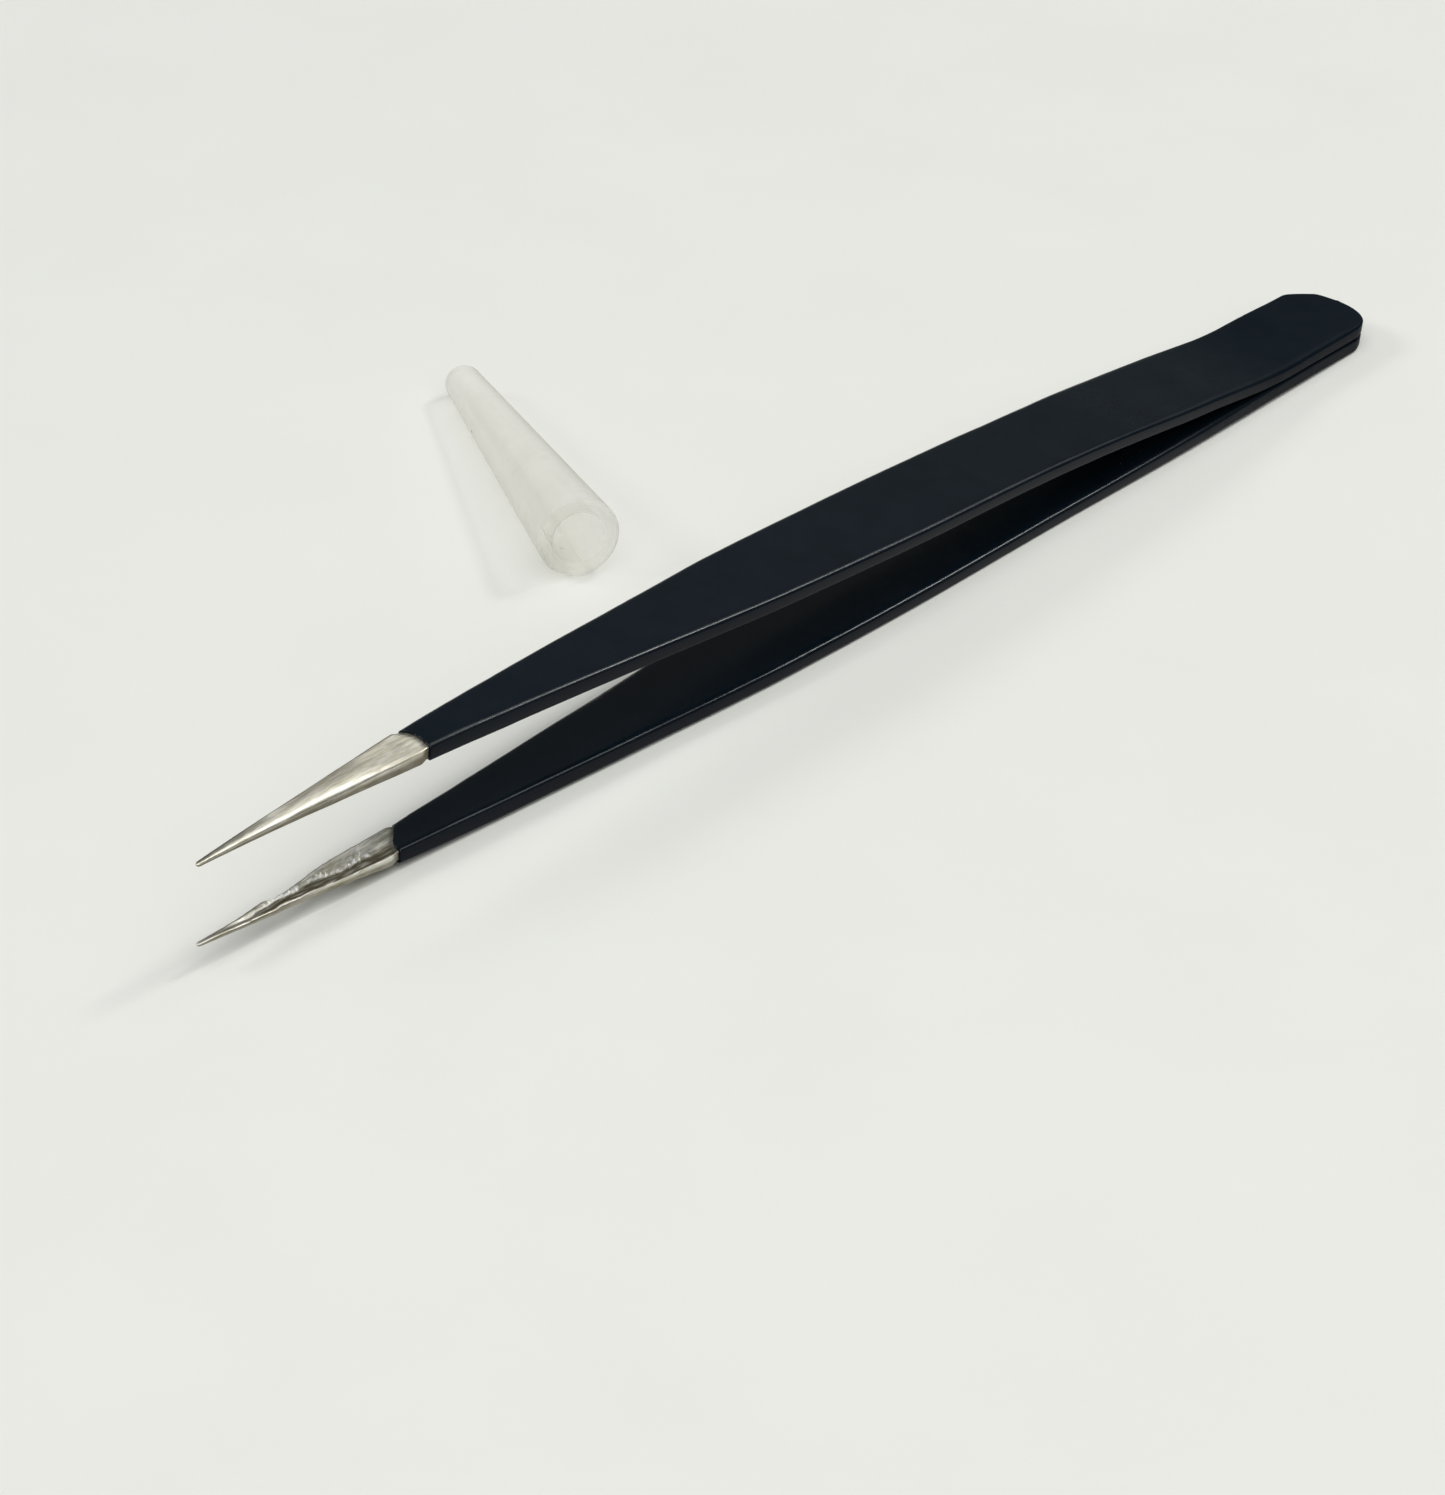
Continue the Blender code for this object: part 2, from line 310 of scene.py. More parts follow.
def section(far, near, faces, radii, inset, across=ACROSS):
    """One ring round a strip: list of (station, across, height).

    far and near are (point, normal) pairs, faces gives the low and high face at a station and
    radii(station) gives (across, down) corner sizes: far high, near high, far low, near low.
    """

    def corner(edge, high, size):
        point, normal = edge
        low_z, high_z = faces(point.x)
        shift = inset(point)
        wide = min(size[0], 0.94 * abs(point.y) + 0.02)
        deep = min(size[1], 0.48 * (high_z - low_z - 2.0 * shift))
        out = []
        for k in range(CORNER + 1):
            share_in, share_down = corner_point(k, CORNER)
            move = point - normal * (shift + wide * share_in)
            drop = shift + deep * share_down
            out.append(Vector((move.x, move.y, high_z - drop if high else low_z + drop)))
        return out

    def span(start, stop, high):
        out = []
        for i in range(1, across):
            point = start.lerp(stop, i / across)
            low_z, high_z = faces(point.x)
            point.z = high_z - inset(point) if high else low_z + inset(point)
            out.append(point)
        return out

    sizes = radii((far[0].x + near[0].x) / 2.0)
    far_high = corner(far, True, sizes[0])
    near_high = corner(near, True, sizes[1])
    far_low = corner(far, False, sizes[2])
    near_low = corner(near, False, sizes[3])
    ring = near_high + [near_high[-1].lerp(near_low[-1], 0.5)] + near_low[::-1]
    ring += span(near_low[0], far_low[0], False)
    ring += far_low + [far_low[-1].lerp(far_high[-1], 0.5)] + far_high[::-1]
    return ring + span(far_high[0], near_high[0], True)


def to_world(point):
    return Vector((REST_STATION - point.x, point.y, point.z)) * MM


def skin(bm, rings, closed_start=False, closed_end=False, marks=None):
    """Faces between neighbouring rings; marks holds named shares for every point."""
    marks = marks or {}
    layers = {name: bm.verts.layers.float.new(name) for name in marks}
    made = [[bm.verts.new(to_world(p)) for p in ring] for ring in rings]
    for name, layer in layers.items():
        for row, shares in zip(made, marks[name]):
            for vert, share in zip(row, shares):
                vert[layer] = share
    for a, b in zip(made, made[1:]):
        for i in range(len(a)):
            j = (i + 1) % len(a)
            bm.faces.new((a[i], a[j], b[j], b[i]))
    if closed_start:
        bm.faces.new(list(reversed(made[0])))
    if closed_end:
        bm.faces.new(made[-1])
    return made


def finish_mesh(name, bm, material, sharp=40.0):
    bmesh.ops.remove_doubles(bm, verts=bm.verts, dist=1e-7)
    bmesh.ops.recalc_face_normals(bm, faces=bm.faces)
    mesh = bpy.data.meshes.new(name)
    bm.to_mesh(mesh)
    bm.free()
    mesh.shade_smooth()
    mesh.set_sharp_from_angle(angle=math.radians(sharp))
    mesh.materials.append(material)
    obj = bpy.data.objects.new(name, mesh)
    bpy.context.scene.collection.objects.link(obj)
    return obj


# ---------------------------------------------------------------- materials


class Nodes:
    """Small helper for building a node material."""

    def __init__(self, name):
        self.material = bpy.data.materials.new(name)
        self.material.use_nodes = True
        self.tree = self.material.node_tree
        self.shader = self.tree.nodes["Principled BSDF"]

    def new(self, kind, **values):
        node = self.tree.nodes.new(kind)
        for key, value in values.items():
            if key in node.inputs:
                node.inputs[key].default_value = value
            else:
                setattr(node, key, value)
        return node

    def link(self, source, target):
        self.tree.links.new(source, target)

    def millimetres(self, stretch=(1.0, 1.0, 1.0)):
        """Object coordinates in millimetres, stretched per axis."""
        coords = self.new("ShaderNodeTexCoord")
        mapping = self.new("ShaderNodeMapping")
        mapping.inputs["Scale"].default_value = [1000.0 * s for s in stretch]
        self.link(coords.outputs["Object"], mapping.inputs["Vector"])
        return mapping.outputs["Vector"]

    def noise(self, vector, scale, detail=3.0, rough=0.55):
        node = self.new("ShaderNodeTexNoise")
        node.inputs["Scale"].default_value = scale
        node.inputs["Detail"].default_value = detail
        node.inputs["Roughness"].default_value = rough
        self.link(vector, node.inputs["Vector"])
        return node.outputs["Fac"]

    def ramp(self, value, stops):
        """Colour ramp between two (place, colour) stops."""
        node = self.new("ShaderNodeValToRGB")
        elements = node.color_ramp.elements
        for element, (place, colour) in zip(elements, stops):
            element.position = place
            element.color = self.colour(colour)
        self.link(value, node.inputs["Fac"])
        return node.outputs["Color"]

    @staticmethod
    def colour(value):
        """Four channels from a grey or three."""
        if isinstance(value, (int, float)):
            value = (value, value, value)
        return (*value, 1.0)

    def range(self, value, low, high, out_low, out_high):
        node = self.new("ShaderNodeMapRange")
        node.clamp = True
        names = ("From Min", "From Max", "To Min", "To Max")
        for key, number in zip(names, (low, high, out_low, out_high)):
            node.inputs[key].default_value = number
        self.link(value, node.inputs["Value"])
        return node.outputs["Result"]

    def math(self, operation, a, b):
        node = self.new("ShaderNodeMath")
        node.operation = operation
        for socket, value in zip(node.inputs, (a, b)):
            if isinstance(value, (int, float)):
                socket.default_value = value
            else:
                self.link(value, socket)
        return node.outputs["Value"]

    def blend(self, share, a, b):
        """Colour from a to b by share; sockets 6, 7 and 2 are the ones for colours."""
        node = self.new("ShaderNodeMix")
        node.data_type = "RGBA"
        for socket, value in ((node.inputs[0], share), (node.inputs[6], a), (node.inputs[7], b)):
            if isinstance(value, (int, float)):
                socket.default_value = value
            elif isinstance(value, tuple):
                socket.default_value = self.colour(value)
            else:
                self.link(value, socket)
        return node.outputs[2]

    def bump(self, height, distance, strength=1.0, normal=None):
        node = self.new("ShaderNodeBump")
        node.inputs["Distance"].default_value = distance
        node.inputs["Strength"].default_value = strength
        self.link(height, node.inputs["Height"])
        if normal is not None:
            self.link(normal, node.inputs["Normal"])
        return node.outputs["Normal"]

    def set(self, **values):
        """Set or link sockets of the main shader."""
        for key, value in values.items():
            socket = self.shader.inputs[key.replace("_", " ")]
            if isinstance(value, (int, float)):
                socket.default_value = value
            elif isinstance(value, tuple):
                socket.default_value = self.colour(value)
            else:
                self.link(value, socket)


def coat_material():
    """Satin black enamel: fine orange peel, slow drift of colour, painted shade on the walls, duller
    walls, edges and heel.
    """
    n = Nodes("satin_black_coat")
    place = n.millimetres()
    drift = n.noise(place, 0.30, 3.0)
    body = n.ramp(drift, ((0.3, (0.0020, 0.0060, 0.0105)), (0.7, (0.0038, 0.0085, 0.0135))))
    speck = n.noise(place, 7.0, 4.0)
    body = n.blend(n.range(speck, 0.62, 0.78, 0.0, 0.5), body, (0.010, 0.015, 0.020))
    normal = n.new("ShaderNodeNewGeometry").outputs["Normal"]
    split = n.new("ShaderNodeSeparateXYZ")
    n.link(normal, split.inputs[0])
    upright = n.math("ABSOLUTE", split.outputs["Z"], 0.0)
    # painted shade: the upright walls take a darker, bluer base colour
    body = n.blend(n.range(upright, 0.25, 0.75, 1.0, 0.0), body, (0.0030, 0.0052, 0.0100))
    where = n.new("ShaderNodeSeparateXYZ")
    n.link(place, where.inputs[0])
    handled = n.range(where.outputs["X"], 12.0, 36.0, 0.0, 0.36)
    rough = n.math("ADD", n.range(n.noise(place, 1.1, 4.0), 0.3, 0.7, 0.17, 0.23), handled)
    peel = n.noise(place, 2.6, 2.0)
    grain = n.noise(place, 11.0, 3.0)
    bumped = n.bump(peel, 0.0000035, 0.5)
    bumped = n.bump(grain, 0.0000022, 0.5, bumped)
    n.set(Base_Color=body, Roughness=rough, Normal=bumped, Metallic=0.0, IOR=1.5)
    gloss = n.new("ShaderNodeMix")
    n.link(n.range(upright, 0.2, 0.6, 0.0, 1.0), gloss.inputs[0])
    n.link(n.range(where.outputs["X"], -62.0, -25.0, 0.085, 0.095), gloss.inputs[2])
    flats = n.range(where.outputs["X"], 0.0, 38.0, 0.36, 0.08)
    shoulder = n.range(upright, 0.88, 0.975, 1.0, 0.0)
    dull = n.math("MULTIPLY", shoulder, n.range(where.outputs["X"], -62.0, -38.0, 0.0, 0.80))
    flats = n.math("MULTIPLY", flats, n.math("SUBTRACT", 1.0, dull))
    n.link(flats, gloss.inputs[3])
    n.set(Specular_IOR_Level=gloss.outputs[0])
    return n.material


def steel_material(name, dark, pale, worn_and_shaded):
    """Ground steel streaked along the leg: dark where worn and where shade is painted, with a painted
    near-white highlight on the burrs.
    """
    n = Nodes(name)
    along = n.millimetres((0.28, 2.6, 2.6))
    fine = n.millimetres((0.8, 8.0, 8.0))
    blotch = n.millimetres((0.55, 1.5, 1.5))
    streak = n.noise(along, 1.0, 4.0, 0.6)
    thread = n.noise(fine, 1.0, 2.0, 0.5)
    patch = n.noise(blotch, 1.3, 4.0, 0.6)
    tone = n.ramp(streak, ((0.38, dark), (0.60, pale)))
    tone = n.blend(n.range(thread, 0.50, 0.72, 0.0, 0.45), tone, tuple(0.6 * c for c in dark))
    # dark worn colour: real wear and grime, plus painted shade on walls, underside and the lower
    # point's hollow
    wear_and_shade = n.new("ShaderNodeAttribute", attribute_name="wear_and_shade").outputs["Fac"]
    grime_and_shade = n.math("MULTIPLY", wear_and_shade, n.range(patch, 0.30, 0.62, 1.0, 0.85))
    tone = n.blend(grime_and_shade, tone, worn_and_shaded)
    # painted highlight: near-white, less metallic colour where the burrs glint
    painted_glint = n.new("ShaderNodeAttribute", attribute_name="painted_glint").outputs["Fac"]
    tone = n.blend(painted_glint, tone, (0.96, 0.97, 0.95))
    polish = n.new("ShaderNodeAttribute", attribute_name="polish").outputs["Fac"]
    ground = n.range(patch, 0.35, 0.65, 0.74, 0.58)
    rolled = n.range(patch, 0.35, 0.65, 0.44, 0.32)
    spread = n.new("ShaderNodeMix")
    for socket, source in zip(spread.inputs[0:1] + spread.inputs[2:4], (polish, ground, rolled)):
        n.link(source, socket)
    rough = spread.outputs[0]
    normal = n.bump(streak, 0.000008, 0.4)
    normal = n.bump(thread, 0.0000012, 0.4, normal)
    metal = n.range(painted_glint, 0.0, 1.0, 1.0, 0.3)
    n.set(Base_Color=tone, Metallic=metal, Roughness=rough, Normal=normal)
    return n.material


def weld_material():
    """Spot-weld nugget: dull, heat-tinted steel."""
    n = Nodes("weld_steel")
    place = n.millimetres()
    tone = n.ramp(n.noise(place, 1.4, 4.0), ((0.3, (0.20, 0.17, 0.14)), (0.7, (0.42, 0.40, 0.37))))
    normal = n.bump(n.noise(place, 5.0, 4.0), 0.00002, 0.7)
    rough = n.range(n.noise(place, 3.0, 2.0), 0.3, 0.7, 0.4, 0.65)
    n.set(Base_Color=tone, Metallic=1.0, Roughness=rough, Normal=normal)
    return n.material


def bore_wedge(n, place):
    """Share of the shaded side of the bore: low, left of the middle and close to the mouth."""
    heading = math.radians(CAP_HEADING)
    share = None
    for direction, low, high in (
        ((math.cos(heading), math.sin(heading), 0.0), -7.0, -3.0),
        ((math.sin(heading), -math.cos(heading), 0.0), -0.45, -0.25),
        ((0.0, 0.0, -1.0), -3.2, -2.7),
    ):
        dot = n.new("ShaderNodeVectorMath", operation="DOT_PRODUCT")
        dot.inputs[1].default_value = direction
        n.link(place, dot.inputs[0])
        start = CAP_MOUTH_XY[0] * direction[0] + CAP_MOUTH_XY[1] * direction[1]
        part = n.range(dot.outputs["Value"], start + low, start + high, 0.0, 1.0)
        share = part if share is None else n.math("MULTIPLY", share, part)
    return share


def cap_material(name, bore):
    """Milky polyethylene: clearest face on, milkier at grazing angles; painted shade on the side
    facing CAP_SHADED_SIDE and on one side of the bore, which is milkier there too.
    """
    n = Nodes(name)
    place = n.millimetres()
    cloud = n.noise(place, 0.35, 3.0)
    tone = n.ramp(cloud, ((0.3, (0.93, 0.93, 0.90)), (0.7, (0.98, 0.98, 0.96))))
    speck = n.new("ShaderNodeTexVoronoi", Scale=0.30)
    n.link(place, speck.inputs["Vector"])
    tone = n.blend(n.range(speck.outputs["Distance"], 0.035, 0.06, 0.8, 0.0), tone, (0.25, 0.22, 0.17))
    facing = n.new("ShaderNodeLayerWeight", Blend=0.5).outputs["Facing"]
    if bore:
        # painted shade on one side of the bore
        wedge = bore_wedge(n, place)
        dark = n.math("MULTIPLY", wedge, 0.34)
        amount = n.range(wedge, 0.0, 1.0, 0.05, 0.42)
    else:
        # painted shade: darker on the side facing CAP_SHADED_SIDE, most at the grazing outline
        lean = n.new("ShaderNodeVectorMath", operation="DOT_PRODUCT")
        lean.inputs[1].default_value = CAP_SHADED_SIDE
        n.link(n.new("ShaderNodeNewGeometry").outputs["Normal"], lean.inputs[0])
        side = lean.outputs["Value"]
        outline = n.range(facing, 0.50, 0.95, 0.0, 0.80)
        dark = n.math("MULTIPLY", outline, n.range(side, 0.1, 0.8, 0.0, 1.0))
        dark = n.math("MAXIMUM", dark, n.range(side, -0.1, 0.7, 0.0, 0.20))
        amount = n.range(facing, 0.12, 0.60, 0.10, 0.56)
    tone = n.blend(dark, tone, (0.34, 0.32, 0.25))
    rough = n.range(n.noise(place, 0.8, 2.0), 0.3, 0.7, 0.26, 0.36)
    n.set(Base_Color=tone, Roughness=rough, IOR=1.46, Specular_IOR_Level=0.15)
    glow = n.new("ShaderNodeBsdfTranslucent")
    n.link(tone, glow.inputs["Color"])
    clear = n.new("ShaderNodeBsdfTransparent", Color=(0.988, 0.986, 0.977, 1.0))
    milk = n.new("ShaderNodeMixShader")
    milk.inputs["Fac"].default_value = 0.5
    n.link(n.shader.outputs["BSDF"], milk.inputs[1])
    n.link(glow.outputs["BSDF"], milk.inputs[2])
    body = n.new("ShaderNodeMixShader")
    n.link(amount, body.inputs["Fac"])
    n.link(clear.outputs["BSDF"], body.inputs[1])
    n.link(milk.outputs["Shader"], body.inputs[2])
    n.link(body.outputs["Shader"], n.tree.nodes["Material Output"].inputs["Surface"])
    return n.material


def floor_material():
    n = Nodes("pale_table")
    place = n.millimetres()
    cloud = n.noise(place, 0.05, 3.0)
    tone = n.ramp(cloud, ((0.3, (0.835, 0.843, 0.803)), (0.7, (0.853, 0.861, 0.821))))
    n.set(Base_Color=tone, Roughness=0.75, Normal=n.bump(n.noise(place, 0.9, 3.0), 0.00004, 0.25))
    n.set(Specular_IOR_Level=0.2)
    return n.material


coat_look = coat_material()
upper_steel_look = steel_material(
    "ground_steel", dark=(0.66, 0.63, 0.52), pale=(0.92, 0.90, 0.80), worn_and_shaded=(0.115, 0.097, 0.066)
)
lower_steel_look = steel_material(
    "rough_ground_steel", dark=(0.60, 0.58, 0.46), pale=(0.98, 0.97, 0.91), worn_and_shaded=(0.13, 0.11, 0.06)
)
weld_look = weld_material()
cap_look = cap_material("milky_plastic", bore=False)
bore_look = cap_material("milky_plastic_bore", bore=True)


# ---------------------------------------------------------------- coats


def coat_rows(end):
    """Row stations from just past the nose to the end of the coat, closest near the end."""
    rows = steps(NOSE_END, 30.0, 0.62)
    rows += steps(30.0, end - 5.0, 0.8)[1:]
    return rows + steps(end - 5.0, end, 0.16)[1:]


def make_coat(side, end_knots):
    """Coat of one leg in one piece, from round the heel to the ragged line before the point."""
    end = max(station for _, station in end_knots)
    pull_start = min(station for _, station in end_knots) - COAT_PULL
    seed = 3.7 if side == "upper" else 11.3
    rows = outline_rows(coat_rows(end))

    def radii(station):
        """Corner sizes: soft on the upper face, tight underneath and between the closed ends."""
        uneven = 1.0 + 0.18 * wave(station * 0.21, seed) + 0.08 * wave(station * 0.9, seed)
        heel = 1.0 - rise(station, 14.0, 22.0)
        under = (EDGE_RADIUS * uneven, EDGE_RADIUS * uneven)
        wide = mix(EDGE_WIDE, HEEL_EDGE_WIDE, heel) * uneven
        deep = mix(EDGE_DEEP, HEEL_EDGE_DEEP, heel) * uneven
        broad = (wide, deep)
        nose = 1.0 - rise(station, 1.5, 5.0)
        broad = tuple(mix(a, b, nose) for a, b in zip(broad, under))
        if side == "lower":
            closed = 1.0 - rise(station, 17.0, 10.0)
            slim = tuple(mix(a, b, closed) for a, b in zip(broad, under))
            return slim, slim, under, under
        return broad, broad, under, under

    def ripple(point):
        """Slow unevenness of the sheet and of the sprayed coat."""
        lift = 0.022 * wave(point.x * 0.085, point.y * 0.12, seed)
        lift += 0.006 * wave(point.x * 0.5, point.y * 0.5, seed + 5.0)
        return lift * rise(point.x, 3.0, 10.0)

    def pull_back(point, share):
        """Move a point near the end so that the last row lies on the ragged end line."""
        line = smooth(end_knots, point.y)
        line += 0.07 * wave(point.y * 2.3, point.z * 2.3, seed)
        line += 0.04 * wave(point.y * 7.0, point.z * 7.0, seed + 2.0)
        return mix(point.x, point.x - (end - line), share)

    def ring_at(far, near, sink):
        """Ring of the coat, sunk below its outside by a depth."""
        ring = section(far, near, lambda s: coat_faces(side, s), radii, lambda point: sink)
        station = (far[0].x + near[0].x) / 2.0
        share = ease((station - pull_start) / (end - pull_start))
        out = []
        for point in ring:
            lift = ripple(point)
            low, high = leg_faces(side, point.x)
            up = ease((point.z - low) / (high - low))
            opened = rise(point.x, SPLIT_STATION, 10.0)
            amount = up + (1.0 - up) * opened if side == "upper" else up * opened
            if share > 0.0:
                moved = pull_back(point, share)
                new_low, new_high = leg_faces(side, moved)
                scale = (new_high - new_low) / (high - low)
                across = point.y * half_width(moved) / half_width(point.x)
                point = Vector((moved, across, new_low + (point.z - low) * scale))
            point.z += lift * amount
            out.append(point)
        return out

    bm = bmesh.new()
    outside = [ring_at(far, near, 0.0) for far, near in rows]
    last_far, last_near = rows[-1]
    lip = []
    for k in range(1, 4):
        turn = math.radians(30.0 * k)
        sink = LIP_RADIUS * (1.0 - math.cos(turn))
        forward = LIP_RADIUS * math.sin(turn)
        ring = ring_at(last_far, last_near, sink)
        for point in ring:
            point.x += forward
        lip.append(ring)
    bottom = ring_at(last_far, last_near, COAT)
    for point in bottom:
        point.x += LIP_RADIUS
    lip.append(bottom)
    inside_rows = [pair for pair in rows if pair[0][0].x > 4.0]
    inside_rows = inside_rows[::3] + [inside_rows[-1]]
    inside = [ring_at(far, near, COAT) for far, near in reversed(inside_rows)]
    skin(bm, outside + lip + inside, closed_end=True)
    return finish_mesh(side + "_coat", bm, coat_look, 50.0)


# ---------------------------------------------------------------- steel under the coat, bare points


class Point:
    """Steel of one leg: what the two bare points have in common."""

    def __init__(self, end_knots):
        self.end_knots = end_knots
        self.coat_end = min(station for _, station in end_knots)

    def inset(self, point):
        """Sunk under the coat, on the faces of the strip where the steel is bare."""
        line = smooth(self.end_knots, point.y)
        return CORE_INSET * (1.0 - rise(point.x - line, 0.12, 0.8))

    def outer_corners(self, station):
        """Far and near corner of the outer face: the wheel has rolled the near one over."""
        grow = rise(station, 118.0, 9.0)
        point = rise(station, 126.0, 9.0)
        wide = mix(mix(0.24, 0.98, grow), 0.92 * half_width(station), point)
        deep = mix(mix(0.15, 0.50, grow), 0.48 * thickness(station), point)
        return (0.30 * wide, 0.5 * deep), (wide, deep)

    def inner_corner(self, station):
        """Corner of the face that meets the other leg, the same on both sides."""
        point = rise(station, 126.0, 9.0)
        wide = mix(CORE_CORNER, 0.5 * half_width(station), point)
        deep = mix(CORE_CORNER, 0.35 * thickness(station), point)
        return wide, deep


class UpperPoint(Point):
    """Outer face smooth, leaning to the near side, with painted shade on the walls and a brown far
    edge.
    """

    side = "upper"
    seed = 21.0

    def radii(self, station):
        far, near = self.outer_corners(station)
        inner = self.inner_corner(station)
        return far, near, inner, inner

    def outline(self, station, sign):
        """Half width on the far (1) or the near (-1) side."""
        return half_width(station) + 0.02 * wave(station * 0.5, self.seed, sign)

    def cut(self, station, y):
        """How far the outer face leans to the near side."""
        reach = rise(station, 117.0, 2.0) * (1.0 - rise(station, 131.0, 5.0))
        lean = SHAVE_LEAN * (half_width(station) - y)
        return (lean + 0.006 * wave(station * 0.6, y * 6.0, self.seed)) * reach

    def worn_and_shaded(self, station, y, share):
        """Share of the dark worn colour: painted shade on the walls and the foot, a darker far edge
        and a brown patch on the face.
        """
        edge = rise(y - half_width(station), -0.22, 0.14)
        brown = 0.40 * rise(station, 121.0, 4.0) * (1.0 - rise(station, 128.5, 3.0))
        brown *= rise(y, -0.15, 0.4)
        # painted shade on the walls and on the underside (foot)
        wall_top = mix(0.80, 0.50, rise(station, 118.5, 8.0))
        wall = 0.95 * (1.0 - rise(share, wall_top, 0.12))
        foot = 1.0 - rise(share, 0.05, 0.22)
        return max(0.85 * edge, wall, brown * rise(share, 0.75, 0.2), foot)

    def polished(self, station, y, share):
        """Polish share: walls and tip."""
        return max(1.0 - rise(share, 0.88, 0.10), 0.7 * rise(station, 129.0, 5.0))

    def bright(self, station, y, share):
        """No painted highlight on this point."""
        return 0.0


class LowerPoint(Point):
    """Inner face ground down from the far edge to a fold line, with bites, burrs, grime, painted shade
    and painted highlights.
    """

    side = "lower"
    seed = 37.0

    def radii(self, station):
        far, near = self.outer_corners(station)
        inner = self.inner_corner(station)
        return inner, inner, far, near

    def outline(self, station, sign):
        """Half width on the far (1) side, cut away in ragged steps, or the near (-1) side."""
        if sign < 0.0:
            return half_width(station) + 0.012 * wave(station * 0.8, self.seed)
        ragged = 0.035 * wave(station * 2.1, self.seed) * rise(station, 121.0, 2.0)
        return mix(half_width(station), far_edge(station), rise(station, 119.0, 2.0)) + ragged

    def bite(self, station, y):
        """One slanted bite of the wheel: (uneven share -1 to 1, place along the bite 0 to 1)."""
        at = station / BITE_PITCH + BITE_SKEW * y + 1.4 * wave(station * 0.45, y * 0.8, self.seed)
        count = math.floor(at)
        return max(-1.0, min(1.0, wave(count * 1.37 + 0.5, self.seed + 0.3) * 2.2)), at - count

    def inner_line(self, station, y):
        """The fold line, moved to and fro by the bites."""
        return fold(station) + 0.09 * self.bite(station, y)[0]

    def glint(self, station, y):
        """Burrs thrown up on the far side of the fold; this share also sets their painted highlight.
        """
        size = rise(wave(station * 1.15, 2.0, self.seed + 8.0), -0.25, 0.30)
        size *= rise(station, 121.0, 1.5) * (1.0 - rise(station, 132.0, 2.0))
        place = (y - self.inner_line(station, y) - 0.18) / 0.21
        return size * math.exp(-place * place)

    def cut(self, station, y):
        """How far the wheel has cut into the inner face: most at the fold, less to either side."""
        reach = rise(station, 119.6, 2.2) * (1.0 - rise(station, 134.5, 3.0))
        chip, along = self.bite(station, y)
        line = self.inner_line(station, y)
        span = max(self.outline(station, 1.0) - line, 0.2)
        down = min(max((self.outline(station, 1.0) - y) / span, 0.0), 1.0)
        inward = rise(y + half_width(station), 0.05, 0.55)
        depth = (FAR_SLOPE + 0.05 * chip * inward) * min(span, 1.0) * down
        depth += 0.05 * chip * (along - 0.5) * rise(y - line, -0.1, 0.2)
        depth += 0.06 * wave(station * 1.1 + 1.2 * y, y * 2.2, self.seed + 1.0) * down * inward
        burr = station / BURR_PITCH + 1.9 * y + 0.8 * wave(station * 0.9, y * 2.0, self.seed)
        depth -= BURR_HEIGHT * self.glint(station, y) * (burr % 1.0)
        depth -= NEAR_SLOPE * min(max(fold(station) - y, 0.0), 1.0)
        depth += 0.022 * wave(station * 0.9 + y * 1.5, y * 5.5, self.seed) * inward
        return depth * reach

    def worn_and_shaded(self, station, y, share):
        """Share of the dark worn colour: grime by the coat, grime and painted shade on the near side
        of the fold, flakes, a darker far rim, painted shade on the foot and walls.
        """
        late = (station - self.coat_end - 0.2 + 0.6 * wave(station, y * 3.0, self.seed)) / 1.3
        smear = (1.0 - ease(late)) * rise(y, -0.4, 0.6)
        line = self.inner_line(station, y)
        # grime and painted shade in the hollow between the fold and the near edge
        grime_and_shade = ease((line + 0.05 - y) / 0.10) * rise(y + half_width(station), 0.08, 0.10)
        grime_and_shade *= rise(station, 119.6, 1.2) * (1.0 - 0.5 * rise(station, 131.5, 2.5))
        patch = wave(station * 0.7, y * 5.0, self.seed + 11.0)
        grime_and_shade *= 1.0 - 0.45 * rise(patch, -0.05, 0.3)
        streak = 0.65 * wave(station * 0.55 + 0.9 * y, y * 3.4, self.seed + 4.0)
        streak += 0.45 * wave(station * 1.9 + 2.6 * y, y * 6.0, self.seed + 6.0)
        flake = 0.38 * rise(streak, 0.08, 0.30) * (1.0 - rise(station, 123.5, 6.0))
        rim = 0.8 * rise(y - self.outline(station, 1.0), -0.16, 0.10)
        # painted shade on the walls and on the underside (foot)
        wall = 0.78 * (1.0 - rise(share, 0.78, 0.12))
        foot = 1.0 - rise(share, 0.05, 0.22)
        shine = 1.0 - 0.9 * self.glint(station, y)
        top = rise(share, 0.75, 0.2)
        return max(top * shine * max(grime_and_shade, smear, flake, rim), 0.85 * foot, wall)

    def polished(self, station, y, share):
        """Polish share: walls, tip and the far side of the fold."""
        wall = 1.0 - rise(share, 0.88, 0.10)
        face = rise(y - self.inner_line(station, y), -0.1, 0.2)
        return max(wall, 0.6 * rise(station, 129.0, 5.0), 0.35 * face)

    def bright(self, station, y, share):
        """Painted highlight on the burrs, in patches."""
        highlight_patches = wave(station * 2.2 + 1.5 * y, y * 4.5, self.seed + 9.0)
        return 0.9 * self.glint(station, y) * rise(highlight_patches, -0.12, 0.22) * rise(share, 0.75, 0.2)


